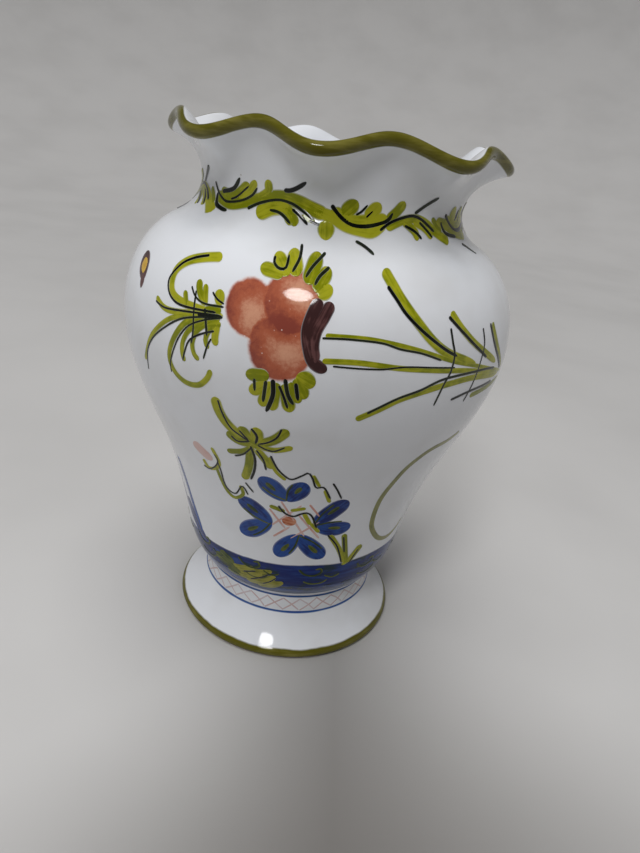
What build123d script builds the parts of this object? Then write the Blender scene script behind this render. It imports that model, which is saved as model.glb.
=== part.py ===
from build123d import *
from math import cos, pi, radians, sin
import os

# Footed pottery vase with a hand-ruffled collar.
# Millimetres, +Z up, origin on the vase's axis where the foot rests, front towards -Y.
# Three thrown pieces (foot, body, collar) are stacked and stuck with two thin layers of slip.

# --- Wall and slip ------------------------------------------------------------
wall = 5.0
slip_thickness = 0.8

# --- Foot: an open flared ring under a narrow waist -----------------------------
foot_radius = 60.0
foot_edge_height = 5.2
foot_edge_set_back = 1.6
foot_flare_rise = 14.3
flare_low_lean = 45.0          # degrees above level, where the flare leaves the foot's edge
flare_high_lean = 60.0         # degrees above level, where the flare meets the waist
waist_radius = 46.5
waist_height = 9.7
waist_wall = 7.0
foot_rest_width = 6.0
foot_rest_chamfer = 1.0

# --- Body: each level is a rise above the level before it -------------------------
floor_thickness = 6.0
floor_corner_reach = 8.0
bowl_rise = 14.5
bowl_radius = 55.5
flank_rise = 17.0
flank_radius = 59.5
swell_rise = 42.5
swell_radius = 71.8
belly_rise = 56.0
belly_radius = 90.7
shoulder_rise = 31.5
shoulder_radius = 84.6
neck_joint_rise = 15.0
neck_joint_radius = 69.8
neck_joint_lean = 28.0        # degrees above level, of the outside where collar meets body

# --- Collar ---------------------------------------------------------------------
neck_rise = 12.5
neck_radius = 58.6
throat_rise = 9.5
throat_radius = 60.8
lip_rise = 13.9
lip_radius = 70.2             # to the middle of the rounded lip
lip_lean = 27.0               # degrees above level, of the wall where it ends
mouth_ovality = 1.5           # the mouth is this much wider across than front to back, each side
ruffle_reach = 3.0            # in and out from lip_radius
ruffle_lift = 3.0             # up and down from the lip's mean height
ruffle_twist = 13.0           # degrees that the lip leans down on a lobe and up in a crease
throat_ruffle = 0.9           # the ruffle's reach lower down, at the throat
front_lobe_angle = -6.0       # degrees round from the front
lobe_drifts = (0, 1, 1, -3, 0, -3, -3, 6)    # degrees off an even spacing, as pinched by hand
stations_per_lobe = 4

# --- Heights worked out from the rises ---------------------------------------------
waist_bottom_z = foot_edge_height + foot_flare_rise
foot_top_z = waist_bottom_z + waist_height
body_bottom_z = foot_top_z + slip_thickness
bowl_z = body_bottom_z + bowl_rise
flank_z = bowl_z + flank_rise
swell_z = flank_z + swell_rise
belly_z = swell_z + belly_rise
shoulder_z = belly_z + shoulder_rise
body_top_z = shoulder_z + neck_joint_rise
collar_bottom_z = body_top_z + slip_thickness
neck_z = collar_bottom_z + neck_rise
throat_z = neck_z + throat_rise
lip_z = throat_z + lip_rise

# --- The ring where collar, slip and body meet, cut level through a leaning wall -----
joint_direction = (-cos(radians(neck_joint_lean)), sin(radians(neck_joint_lean)))
joint_width = wall / sin(radians(neck_joint_lean))
slip_narrowing = slip_thickness * cos(radians(neck_joint_lean)) / sin(radians(neck_joint_lean))
collar_bottom_radius = neck_joint_radius - slip_narrowing

# --- The flare's slopes at the foot's edge and at the waist --------------------------
flare_low = (-cos(radians(flare_low_lean)), sin(radians(flare_low_lean)))
flare_high = (-cos(radians(flare_high_lean)), sin(radians(flare_high_lean)))


def inside_of(outer, shares):
    """Points one wall inside an outline, at the given shares of its length."""
    points = []
    for share in shares:
        along = outer % share
        points.append(outer @ share + Vector(-along.Y, along.X) * wall)
    return points


def level_ring(bottom_radius, top_radius, width, bottom_z, top_z):
    """Section of a thin ring of slip whose sides lean with the wall it lies in."""
    with BuildSketch(Plane.XZ) as ring:
        with BuildLine():
            Polyline(
                (bottom_radius, bottom_z),
                (top_radius, top_z),
                (top_radius - width, top_z),
                (bottom_radius - width, bottom_z),
                close=True,
            )
        make_face()
    return ring.sketch


def lobe_angle(lobe):
    """Degrees round from the front to a lobe, counted on past a full turn and back below zero."""
    lobes = len(lobe_drifts)
    return front_lobe_angle + 360 / lobes * lobe + lobe_drifts[lobe % lobes]


def ruffle_stations(first_lobe, last_lobe):
    """Angles from lobe to lobe, each with its ruffle: +1 on a lobe, -1 in a crease."""
    stations = []
    for station in range(first_lobe * stations_per_lobe, last_lobe * stations_per_lobe + 1):
        lobe, step = divmod(station, stations_per_lobe)
        share = step / stations_per_lobe
        angle = lobe_angle(lobe) + (lobe_angle(lobe + 1) - lobe_angle(lobe)) * share
        stations.append((angle, cos(2 * pi * share)))
    return stations


def collar_section(angle, ruffle):
    """Wall of the collar on one upright plane through the axis."""
    outward = (sin(radians(angle)), -cos(radians(angle)), 0)
    sideways = (-cos(radians(angle)), -sin(radians(angle)), 0)
    throat_here = throat_radius + throat_ruffle * ruffle
    lean_here = radians(lip_lean - ruffle_twist * ruffle)
    lip_along = Vector(cos(lean_here), sin(lean_here))
    lip_across = Vector(-sin(lean_here), cos(lean_here)) * wall / 2
    lip_reach = lip_radius + ruffle_reach * ruffle - mouth_ovality * cos(2 * radians(angle))
    lip_middle = Vector(lip_reach, lip_z - ruffle_lift * ruffle)
    bottom_outer = Vector(collar_bottom_radius, collar_bottom_z)
    bottom_inner = Vector(collar_bottom_radius - joint_width, collar_bottom_z)
    with BuildSketch(Plane(origin=(0, 0, 0), x_dir=outward, z_dir=sideways)) as section:
        with BuildLine():
            outside = Spline(
                bottom_outer,
                (neck_radius, neck_z),
                (throat_here, throat_z),
                lip_middle - lip_across,
                tangents=(joint_direction, lip_along),
                tangent_scalars=(1, 1),
            )
            hollow = inside_of(outside, (0.4, 0.6, 0.8))
            Spline(
                bottom_inner,
                *hollow,
                lip_middle + lip_across,
                tangents=(joint_direction, lip_along),
                tangent_scalars=(1, 1),
            )
            ThreePointArc(
                lip_middle - lip_across,
                lip_middle + lip_along * wall / 2,
                lip_middle + lip_across,
            )
            Line(bottom_outer, bottom_inner)
        make_face()
    return section.sketch


# --- foot -----------------------------------------------------------------------
with BuildPart() as foot:
    with BuildSketch(Plane.XZ):
        with BuildLine():
            edge_top = (foot_radius - foot_edge_set_back, foot_edge_height)
            waist_bottom = (waist_radius, waist_bottom_z)
            waist_top = (waist_radius, foot_top_z)
            inner_top = (waist_radius - waist_wall, foot_top_z)
            rest_outer = (foot_radius - foot_edge_set_back - foot_rest_chamfer, 0)
            rest_inner = (foot_radius - foot_edge_set_back - foot_rest_chamfer - foot_rest_width, 0)
            inner_rise = (waist_radius - waist_wall, waist_bottom_z)
            ThreePointArc(rest_outer, (foot_radius, foot_edge_height / 2), edge_top)
            Spline(
                edge_top,
                waist_bottom,
                tangents=(flare_low, flare_high),
                tangent_scalars=(1, 1),
            )
            Line(waist_bottom, waist_top)
            Line(waist_top, inner_top)
            Line(inner_top, inner_rise)
            Spline(
                inner_rise,
                rest_inner,
                tangents=((0.0, -1.0), (1.0, -1.0)),
                tangent_scalars=(1, 1),
            )
            Line(rest_inner, rest_outer)
        make_face()
    revolve(axis=Axis.Z)
foot.part.label = "foot"

# --- foot slip: a thin level ring on top of the foot --------------------------------
with BuildPart() as foot_slip:
    add(level_ring(waist_radius, waist_radius, waist_wall, foot_top_z, body_bottom_z))
    revolve(axis=Axis.Z)
foot_slip.part.label = "foot_slip"

# --- body: belly, shoulder and closed floor -----------------------------------------
with BuildPart() as body:
    with BuildSketch(Plane.XZ):
        with BuildLine():
            outside = Spline(
                (waist_radius, body_bottom_z),
                (bowl_radius, bowl_z),
                (flank_radius, flank_z),
                (swell_radius, swell_z),
                (belly_radius, belly_z),
                (shoulder_radius, shoulder_z),
                (neck_joint_radius, body_top_z),
                tangents=((1.0, 1.0), joint_direction),
                tangent_scalars=(1, 1),
            )
            Polyline(
                (neck_joint_radius, body_top_z),
                (0, body_top_z),
                (0, body_bottom_z),
                (waist_radius, body_bottom_z),
            )
        make_face()
    revolve(axis=Axis.Z)
    with BuildSketch(Plane.XZ):
        with BuildLine():
            floor_z = body_bottom_z + floor_thickness
            floor_edge = (waist_radius - floor_corner_reach, floor_z)
            mouth_edge = (neck_joint_radius - joint_width, body_top_z)
            Spline(
                floor_edge,
                *inside_of(outside, (0.12, 0.25, 0.4, 0.55, 0.7, 0.82, 0.92)),
                mouth_edge,
                tangents=((1.0, 0.0), joint_direction),
                tangent_scalars=(1, 1),
            )
            Polyline(mouth_edge, (0, body_top_z), (0, floor_z), floor_edge)
        make_face()
    revolve(axis=Axis.Z, mode=Mode.SUBTRACT)
body.part.label = "body"

# --- neck slip: a thin leaning ring on top of the body ------------------------------
with BuildPart() as neck_slip:
    add(level_ring(neck_joint_radius, collar_bottom_radius, joint_width, body_top_z, collar_bottom_z))
    revolve(axis=Axis.Z)
neck_slip.part.label = "neck_slip"

# --- collar: neck, throat and ruffled lip ---------------------------------------------
# Each half is lofted a lobe too long at both ends, so that the halves run on smoothly.
half_lobes = len(lobe_drifts) // 2
seam_angle = radians(front_lobe_angle)
seam_plane = Plane(origin=(0, 0, 0), z_dir=(cos(seam_angle), sin(seam_angle), 0))
with BuildPart() as right_half:
    loft(sections=[collar_section(*station) for station in ruffle_stations(-1, half_lobes + 1)])
    split(bisect_by=seam_plane, keep=Keep.TOP)
with BuildPart() as left_half:
    loft(sections=[collar_section(*station) for station in ruffle_stations(-half_lobes - 1, 1)])
    split(bisect_by=seam_plane, keep=Keep.BOTTOM)
with BuildPart() as collar:
    add(right_half.part)
    add(left_half.part)
collar.part.label = "collar"

# --- write one file per piece ---------------------------------------------------------
os.makedirs("parts", exist_ok=True)
export_step(foot.part, "parts/foot.step")
export_step(foot_slip.part, "parts/foot_slip.step")
export_step(body.part, "parts/body.step")
export_step(neck_slip.part, "parts/neck_slip.step")
export_step(collar.part, "parts/collar.step")
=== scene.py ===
# %% [markdown]
# # A ruffled white vase with painted flowers
# A potter throws the body, adds a flared foot and a collar, and pinches the collar's lip into eight soft
# waves. The biscuit pot is dipped in white tin glaze, and the flowers are brushed on the raw glaze before
# the last firing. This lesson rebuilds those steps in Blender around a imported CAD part.
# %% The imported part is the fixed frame
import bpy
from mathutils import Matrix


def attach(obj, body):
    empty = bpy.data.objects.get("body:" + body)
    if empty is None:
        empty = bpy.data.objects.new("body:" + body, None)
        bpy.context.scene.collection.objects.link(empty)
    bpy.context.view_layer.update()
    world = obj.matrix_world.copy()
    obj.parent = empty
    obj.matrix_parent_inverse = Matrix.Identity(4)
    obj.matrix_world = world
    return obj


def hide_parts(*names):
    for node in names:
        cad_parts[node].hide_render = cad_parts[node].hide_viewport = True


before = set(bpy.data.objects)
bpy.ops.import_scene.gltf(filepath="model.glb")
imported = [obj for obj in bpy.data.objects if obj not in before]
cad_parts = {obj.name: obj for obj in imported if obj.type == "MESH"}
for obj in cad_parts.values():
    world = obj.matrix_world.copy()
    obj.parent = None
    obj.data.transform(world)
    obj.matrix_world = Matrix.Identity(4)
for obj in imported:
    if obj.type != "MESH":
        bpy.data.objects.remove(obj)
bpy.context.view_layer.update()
import math
import bpy
import numpy as np
from mathutils import Matrix, Vector
MM = 0.001
BODY = "root"

# %% [markdown]
# ## The camera
# The vase is seen from close to, at the height of its rim and looking down a little, with the camera rolled
# slightly. The matrix holds the camera's right, up and backward directions as its columns.
# %% Camera
CAMERA_PLACE = (0.0, -0.3078, 0.2438)
CAMERA_RIGHT = (0.99224, 0.02809, 0.12115)
CAMERA_UP = (-0.12197, 0.41019, 0.90381)
CAMERA_LENS = 26.93


def place_camera():
    data = bpy.data.cameras.new("camera")
    data.sensor_width = 36
    data.lens = CAMERA_LENS
    data.clip_start = 0.01
    camera = bpy.data.objects.new("camera", data)
    bpy.context.scene.collection.objects.link(camera)
    right, up = Vector(CAMERA_RIGHT), Vector(CAMERA_UP)
    turn = Matrix((right, up, right.cross(up))).transposed()
    camera.matrix_world = Matrix.Translation(CAMERA_PLACE) @ turn.to_4x4()
    bpy.context.scene.camera = camera
    return camera


print("camera looks along", -place_camera().matrix_world.col[2].to_3d())

# %% [markdown]
# ## Lines that a rib or a wire would follow
# A thrown wall has no corners: its outline is one even bend through a few widths measured up the pot. The
# helper solves for the slopes that make the bend even, as a thin spline held by pins would lie. A plain
# polyline would show rings, and Bezier handles would have to be nudged by hand.
# %% A spline held by pins
def unit(direction):
    return np.array(direction, float) / np.linalg.norm(direction)


def smooth_line(pins, start, end, count):
    """count points on the even bend through the pins, leaving and arriving along two directions."""
    pins = np.array(pins, float)
    gaps = np.linalg.norm(np.diff(pins, axis=0), axis=1)
    last = len(pins) - 1
    rows = np.zeros((last + 1, last + 1))
    aims = np.zeros_like(pins)
    rows[0, 0] = rows[last, last] = 1
    aims[0], aims[last] = unit(start), unit(end)
    for k in range(1, last):
        before, after = gaps[k - 1], gaps[k]
        rows[k, k - 1:k + 2] = after, 2 * (before + after), before
        aims[k] = 3 * (after * (pins[k] - pins[k - 1]) / before + before * (pins[k + 1] - pins[k]) / after)
    slopes = np.linalg.solve(rows, aims)
    knots = np.append(0, np.cumsum(gaps))
    way = np.linspace(0, knots[-1], count)
    k = np.clip(np.searchsorted(knots, way, "right") - 1, 0, last - 1)
    span = gaps[k][:, None]
    t = ((way - knots[k]) / gaps[k])[:, None]
    return ((2 * t**3 - 3 * t**2 + 1) * pins[k] + (t**3 - 2 * t**2 + t) * span * slopes[k]
            + (3 * t**2 - 2 * t**3) * pins[k + 1] + (t**3 - t**2) * span * slopes[k + 1])


def level(start, end, count):
    return np.linspace(start, end, count)


def half_round(centre, along, across, radius, count):
    """The rounded end of a wall, from one face to the other."""
    turns = np.linspace(-np.pi / 2, np.pi / 2, count)[:, None]
    return np.array(centre) + radius * (np.cos(turns) * along + np.sin(turns) * across)


def inside_of(line, share, wall):
    """The point one wall inside a line that climbs the pot."""
    k = int(round(share * (len(line) - 1)))
    run = unit(line[min(k + 1, len(line) - 1)] - line[k - 1])
    return line[k] + wall * np.array([-run[1], run[0]])


print("a pinned quarter bend is", len(smooth_line([(1, 0), (0, 1)], (0, 1), (-1, 0), 9)), "points long")

# %% [markdown]
# ## The three outlines
# Each outline is the cut face of a thrown piece, in millimetres from the axis and up from the table. The
# wall is 5 mm thick, and the pieces meet level, so that no joint shows under the glaze.
# %% Sizes of the foot, the body and the collar
def climbing_in(degrees):
    """The direction of a wall that leans in over the axis, that many degrees above level."""
    return -math.cos(math.radians(degrees)), math.sin(math.radians(degrees))


WALL = 5.0
REST_INSIDE, REST_OUTSIDE = 51.4, 57.4
FLARE_START, FLARE_MIDDLE, FLARE_END = (58.4, 5.2), (51.6, 12.0), 19.5
FLARE_LOW, FLARE_HIGH = climbing_in(45), climbing_in(60)
WAIST, WAIST_INSIDE, FOOT_TOP = 46.5, 39.5, 30.0
BODY_FLOOR, BODY_TOP = 36, 206.5
BODY_PINS = [(WAIST, FOOT_TOP), (55.5, 44.5), (59.5, 61.5), (71.8, 104), (90.7, 160), (84.6, 191.5)]
JOINT, JOINT_INSIDE = (69.8, BODY_TOP), (59.15, BODY_TOP)
JOINT_RUN = climbing_in(28)
COLLAR_START = (68.3, 207.3)
NECK = (58.6, 219.8)
THROAT_RADIUS, THROAT_HEIGHT = 60.8, 229.3
LIP_RADIUS, LIP_HEIGHT, LIP_LEAN = 70.2, 243.2, 27
RUFFLE_OUT, RUFFLE_DOWN, RUFFLE_TWIST, RUFFLE_THROAT = 3.0, 3.0, 13, 0.9
MOUTH_OVAL = 1.5
FLOOR_POINTS, BODY_POINTS, COLLAR_POINTS = 8, 150, 61

# %% Outline of the foot
def foot_outline():
    edge = smooth_line([(REST_OUTSIDE, 0), (60, 2.6), FLARE_START], (1, 0.15), (-0.75, 0.6), 13)
    flare = smooth_line([FLARE_START, FLARE_MIDDLE, (WAIST, FLARE_END)], FLARE_LOW, FLARE_HIGH, 30)
    bell = smooth_line([(WAIST_INSIDE, FLARE_END), (REST_INSIDE, 0)], (0, -1), (1, -1), 24)
    return np.vstack([level((REST_INSIDE, 0), (REST_OUTSIDE, 0), 7)[:-1], edge[:-1], flare[:-1],
                      level((WAIST, FLARE_END), (WAIST, FOOT_TOP), 12)[:-1],
                      level((WAIST, FOOT_TOP), (WAIST_INSIDE, FOOT_TOP), 4)[:-1],
                      level((WAIST_INSIDE, FOOT_TOP), (WAIST_INSIDE, FLARE_END), 6)[:-1], bell])


# %% Outline of the body
def body_outline():
    outer = smooth_line(BODY_PINS + [JOINT], (1, 1), JOINT_RUN, BODY_POINTS)
    pins = [inside_of(outer, share, WALL) for share in (0.1, 0.2, 0.35, 0.5, 0.65, 0.8, 0.9)]
    inner = smooth_line([(38.5, BODY_FLOOR)] + pins + [JOINT_INSIDE], (1, 0.35), JOINT_RUN, 90)[::-1]
    return np.vstack([level((0, FOOT_TOP), (WAIST, FOOT_TOP), FLOOR_POINTS)[:-1], outer[:-1],
                      level(outer[-1], inner[0], 5)[:-1], inner[:-1], level(inner[-1], (0, BODY_FLOOR), 8)])


# %% Outline of the collar, at a wave from -1 in a crease to 1 on a lobe
def collar_outline(wave, oval):
    lean = math.radians(LIP_LEAN - RUFFLE_TWIST * wave)
    along = np.array([math.cos(lean), math.sin(lean)])
    across = np.array([-math.sin(lean), math.cos(lean)])
    middle = np.array([LIP_RADIUS + RUFFLE_OUT * wave - MOUTH_OVAL * oval, LIP_HEIGHT - RUFFLE_DOWN * wave])
    throat = (THROAT_RADIUS + RUFFLE_THROAT * wave, THROAT_HEIGHT)
    low, high = middle - across * WALL / 2, middle + across * WALL / 2
    outer = smooth_line([COLLAR_START, NECK, throat, low], JOINT_RUN, along, COLLAR_POINTS)
    seat = (COLLAR_START[0] - JOINT[0] + JOINT_INSIDE[0], COLLAR_START[1])
    pins = [seat] + [inside_of(outer, share, WALL) for share in (0.4, 0.6, 0.8)] + [high]
    inner = smooth_line(pins, JOINT_RUN, along, 51)[::-1]
    return np.vstack([level(JOINT, COLLAR_START, 3)[:-1], outer[:-1],
                      half_round(middle, along, across, WALL / 2, 17)[:-1], inner[:-1],
                      level(seat, JOINT_INSIDE, 3)[:-1], level(JOINT_INSIDE, JOINT, 5)])


print("outline points", len(foot_outline()), len(body_outline()), len(collar_outline(0, 0)))

# %% [markdown]
# ## The waves of the lip
# The lip is pinched by hand while the clay is soft, so the eight lobes aren't spaced quite evenly. The wave
# runs from 1 on each lobe to -1 in each crease, and it is written on a ring of points that the lathe reads.
# %% Where the lobes are
LOBES = (-6, 40, 85, 126, 174, 216, 261, 315)
SEGMENTS = 288


def wave_at(degrees):
    lobes = np.array(LOBES + (LOBES[0] + 360,), float)
    turn = (np.asarray(degrees) - lobes[0]) % 360 + lobes[0]
    share = np.interp(turn, lobes, np.arange(len(lobes)))
    return np.cos(2 * np.pi * share)


RING = np.linspace(-180, 180, SEGMENTS + 1)
print("wave on the front lobe", float(wave_at(-6)), "and in the next crease", float(wave_at(17)))

# %% [markdown]
# ## A small kit for node trees
# Both geometry and shader trees are built by the same few helpers, so each later cell reads as a list of
# steps. An input may be a plain value or another node's output.
# %% Helpers that build a tree
def add(tree, kind, inputs=None, **settings):
    node = tree.nodes.new(kind)
    for name, value in settings.items():
        setattr(node, name, value)
    for key, value in (inputs or {}).items():
        if isinstance(value, bpy.types.NodeSocket):
            tree.links.new(value, node.inputs[key])
        else:
            node.inputs[key].default_value = value
    return node


def math_of(tree, operation, first, second=0.0, third=0.0, clamp=False):
    return add(tree, "ShaderNodeMath", {0: first, 1: second, 2: third}, operation=operation,
               use_clamp=clamp).outputs[0]


def shortcut(operation):
    """One operation under a short name of its own."""
    def made(tree, *values, clamp=False):
        return math_of(tree, operation, *values, clamp=clamp)
    return made


OPERATIONS = ("ADD", "SUBTRACT", "MULTIPLY", "DIVIDE", "MULTIPLY_ADD")
plus, minus, times, over, times_plus = map(shortcut, OPERATIONS)


def vector_of(tree, operation, first, second=(0, 0, 0), output=0):
    return add(tree, "ShaderNodeVectorMath", {0: first, 1: second}, operation=operation).outputs[output]


def scaled(tree, vector, factor):
    return add(tree, "ShaderNodeVectorMath", {0: vector, "Scale": factor}, operation="SCALE").outputs[0]


def joined(tree, x, y, z):
    return add(tree, "ShaderNodeCombineXYZ", {0: x, 1: y, 2: z}).outputs[0]


def split(tree, vector):
    return add(tree, "ShaderNodeSeparateXYZ", {0: vector}).outputs


def new_tree(name, kind, inputs, outputs):
    """A node group whose sockets have plain names. Each input is (name, type, value)."""
    tree = bpy.data.node_groups.new(name, kind)
    for label, socket, value in inputs:
        made = tree.interface.new_socket(label, in_out="INPUT", socket_type="NodeSocket" + socket)
        if value is not None:
            made.default_value = value
    for label, socket in outputs:
        tree.interface.new_socket(label, in_out="OUTPUT", socket_type="NodeSocket" + socket)
    return tree, tree.nodes.new("NodeGroupInput").outputs, tree.nodes.new("NodeGroupOutput").inputs


print("helpers ready")

# %% Helpers that read and write a point's numbers, and turn a tree's result into a plain mesh
def named(tree, name, kind="FLOAT"):
    return add(tree, "GeometryNodeInputNamedAttribute", {"Name": name}, data_type=kind).outputs["Attribute"]


def sample(tree, geometry, value, index, kind="FLOAT"):
    node = add(tree, "GeometryNodeSampleIndex", {"Geometry": geometry, "Index": index}, data_type=kind,
               clamp=True)
    tree.links.new(value, node.inputs["Value"])
    return node.outputs[0]


def sample_between(tree, geometry, value, place):
    """The value at a place between two neighbouring points."""
    floor = math_of(tree, "FLOOR", place)
    low = sample(tree, geometry, value, floor)
    high = sample(tree, geometry, value, plus(tree, floor, 1.0))
    share = math_of(tree, "FRACT", place)
    return times_plus(tree, minus(tree, high, low), share, low)


def stored(tree, geometry, label, value, kind="FLOAT", domain="POINT"):
    return add(tree, "GeometryNodeStoreNamedAttribute", {"Geometry": geometry, "Name": label, "Value": value},
               data_type=kind, domain=domain).outputs[0]


def hand_over(tree, shape, places, weld, material, result):
    """Moves the points to their places, closes the seams, and hands over one smooth mesh of one material."""
    for kind, inputs in (("GeometryNodeSetPosition", {"Position": places}),
                         ("GeometryNodeMergeByDistance", {"Distance": weld}),
                         ("GeometryNodeSetShadeSmooth", {"Shade Smooth": True}),
                         ("GeometryNodeRealizeInstances", {}),
                         ("GeometryNodeSetMaterial", {"Material": material})):
        shape = add(tree, kind, {"Geometry": shape, **inputs}).outputs[0]
    tree.links.new(shape, result)


def points_object(name, places, edges=(), **numbers):
    """A mesh of loose points or polylines that carries named numbers for a node tree."""
    mesh = bpy.data.meshes.new(name)
    mesh.from_pydata([tuple(place) for place in places], list(edges), [])
    for label, values in numbers.items():
        values = np.array(values, np.float32)
        flat = values.ndim == 1
        attribute = mesh.attributes.new(label, "FLOAT" if flat else "FLOAT_VECTOR", "POINT")
        attribute.data.foreach_set("value" if flat else "vector", values.ravel())
    made = bpy.data.objects.new(name, mesh)
    bpy.context.scene.collection.objects.link(made)
    return made


def grown(name, seed, tree, settings, sharp):
    """Runs a tree on the seed object and keeps its result as a plain mesh at the origin."""
    modifier = seed.modifiers.new("shape", "NODES")
    modifier.node_group = tree
    for item in tree.interface.items_tree:
        if item.in_out == "INPUT" and item.name in settings:
            modifier[item.identifier] = settings[item.name]
    graph = bpy.context.evaluated_depsgraph_get()
    graph.update()
    mesh = bpy.data.meshes.new_from_object(seed.evaluated_get(graph))
    seed.modifiers.remove(modifier)
    bpy.data.objects.remove(seed)
    mesh.name = name
    mesh.set_sharp_from_angle(angle=math.radians(sharp))
    piece = bpy.data.objects.new(name, mesh)
    bpy.context.scene.collection.objects.link(piece)
    mesh.calc_loop_triangles()
    print(name, "triangles", len(mesh.loop_triangles))
    return piece


# %% [markdown]
# ## The lathe tree
# A screw modifier would spin one fixed outline, but this collar's outline changes as it goes round. So the
# tree lays a flat grid, one row for each outline point and one column for each small step round, and looks
# up every corner's place. It also writes which face is the outside, and how far past the lip a point lies,
# less than nothing on the outside, so that the glaze knows where the painter worked.
# %% Build the lathe
SEAM, CREASE = 0.000002, 25


def build_lathe():
    tree, given, result = new_tree("thrown wall", "GeometryNodeTree", [
        ("Outline", "Geometry", None), ("Ring", "Object", None),
        ("Segments", "Int", SEGMENTS), ("Weld", "Float", SEAM),
        ("Glaze", "Material", None)], [("Wall", "Geometry")])
    outline = given["Outline"]
    rows = add(tree, "GeometryNodeAttributeDomainSize", {"Geometry": outline}).outputs["Point Count"]
    columns = plus(tree, given["Segments"], 1)
    grid = add(tree, "GeometryNodeMeshGrid", {"Vertices X": columns, "Vertices Y": rows})
    place = split(tree, add(tree, "GeometryNodeInputPosition").outputs[0])
    turn = plus(tree, place[0], 0.5)
    row = math_of(tree, "ROUND", times(tree, plus(tree, place[1], 0.5), minus(tree, rows, 1)))
    column = math_of(tree, "ROUND", times(tree, turn, given["Segments"]))
    ring = add(tree, "GeometryNodeObjectInfo", {"Object": given["Ring"]}).outputs["Geometry"]
    wave = sample(tree, ring, named(tree, "wave"), column)
    angle = times(tree, minus(tree, turn, 0.5), 2 * math.pi)
    oval = math_of(tree, "COSINE", times(tree, angle, 2))
    pin = sample(tree, outline, add(tree, "GeometryNodeInputPosition").outputs[0], row, "FLOAT_VECTOR")
    for label, amount in (("reach", wave), ("bend", times(tree, wave, wave)), ("oval", oval)):
        shift = sample(tree, outline, named(tree, label, "FLOAT_VECTOR"), row, "FLOAT_VECTOR")
        pin = vector_of(tree, "ADD", pin, scaled(tree, shift, amount))
    flat = split(tree, pin)
    spot = joined(tree, times(tree, flat[0], math_of(tree, "SINE", angle)),
                  times(tree, flat[0], times(tree, math_of(tree, "COSINE", angle), -1)), flat[2])
    shape = grid.outputs["Mesh"]
    for label in ("outside", "lip"):
        value = sample(tree, outline, named(tree, label), row)
        shape = stored(tree, shape, label, value)
    hand_over(tree, shape, spot, given["Weld"], given["Glaze"], result["Wall"])
    return tree


LATHE = build_lathe()
print("lathe tree has", len(LATHE.nodes), "nodes")

# %% Seeds for the lathe: an outline with its waves, and the ring
def swept(flat):
    return np.column_stack([flat[:, 0], np.zeros(len(flat)), flat[:, 1]]) * MM


def outline_seed(name, middle, lobe=None, crease=None, round_up=None, round_down=None):
    still = np.zeros_like(middle)
    reach = still if lobe is None else (lobe - crease) / 2
    bend = still if lobe is None else (lobe + crease) / 2 - middle
    oval = still if lobe is None else (round_up - round_down) / 2
    run = np.append(0, np.cumsum(np.linalg.norm(np.diff(middle, axis=0), axis=1)))
    tip = run[np.argmax(middle[:, 0] / 2 + middle[:, 1])]
    climb = np.gradient(middle[:, 1])
    outside = np.clip(1 + (tip - run) * 0.4, 0, 1) * (np.maximum.accumulate(climb > 0.05))
    past_lip = (run - tip) * MM
    past_lip[-1] = past_lip[0]
    return points_object(name, swept(middle), reach=swept(reach), bend=swept(bend), oval=swept(oval),
                         outside=outside, lip=past_lip)


def ring_seed():
    angles = np.radians(RING)
    places = np.column_stack([np.sin(angles), -np.cos(angles), 0 * angles])
    return points_object("ring", places, wave=wave_at(RING))


ring = ring_seed()
print("ring points", len(ring.data.vertices))

# %% [markdown]
# ## The white glaze
# Tin glaze is opaque, cool white and very glossy. It isn't perfectly even: it runs a little thicker and
# thinner, keeps faint rings from throwing, and has a few pinholes. One shader group holds that ground, and
# every material uses it, so that thin paint can fade into the same white.
# %% Shader helpers
def noise(tree, vector, scale, detail=2.0, roughness=0.5):
    return add(tree, "ShaderNodeTexNoise", {"Vector": vector, "Scale": scale, "Detail": detail,
                                           "Roughness": roughness}).outputs[0]


def blend(tree, share, first, second):
    node = add(tree, "ShaderNodeMix", {0: share}, data_type="RGBA")
    for index, value in ((6, first), (7, second)):
        if isinstance(value, bpy.types.NodeSocket):
            tree.links.new(value, node.inputs[index])
        else:
            node.inputs[index].default_value = (*value, 1)
    return node.outputs[2]


def ramp(tree, value, low, high, start=0.0, end=1.0):
    """Rises smoothly from start to end as value goes from low to high."""
    limits = {"Value": value, "From Min": low, "From Max": high, "To Min": start, "To Max": end}
    return add(tree, "ShaderNodeMapRange", limits, interpolation_type="SMOOTHSTEP").outputs[0]


def group(tree, shared, **inputs):
    node = tree.nodes.new("ShaderNodeGroup")
    node.node_tree = shared
    for name, value in inputs.items():
        socket = node.inputs[name.replace("_", " ")]
        if isinstance(value, bpy.types.NodeSocket):
            tree.links.new(value, socket)
        else:
            socket.default_value = value
    return node.outputs


def here(tree):
    return add(tree, "ShaderNodeTexCoord").outputs["Object"]


def attribute(tree, name):
    return add(tree, "ShaderNodeAttribute", attribute_name=name).outputs["Fac"]


print("shader helpers ready")

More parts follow.
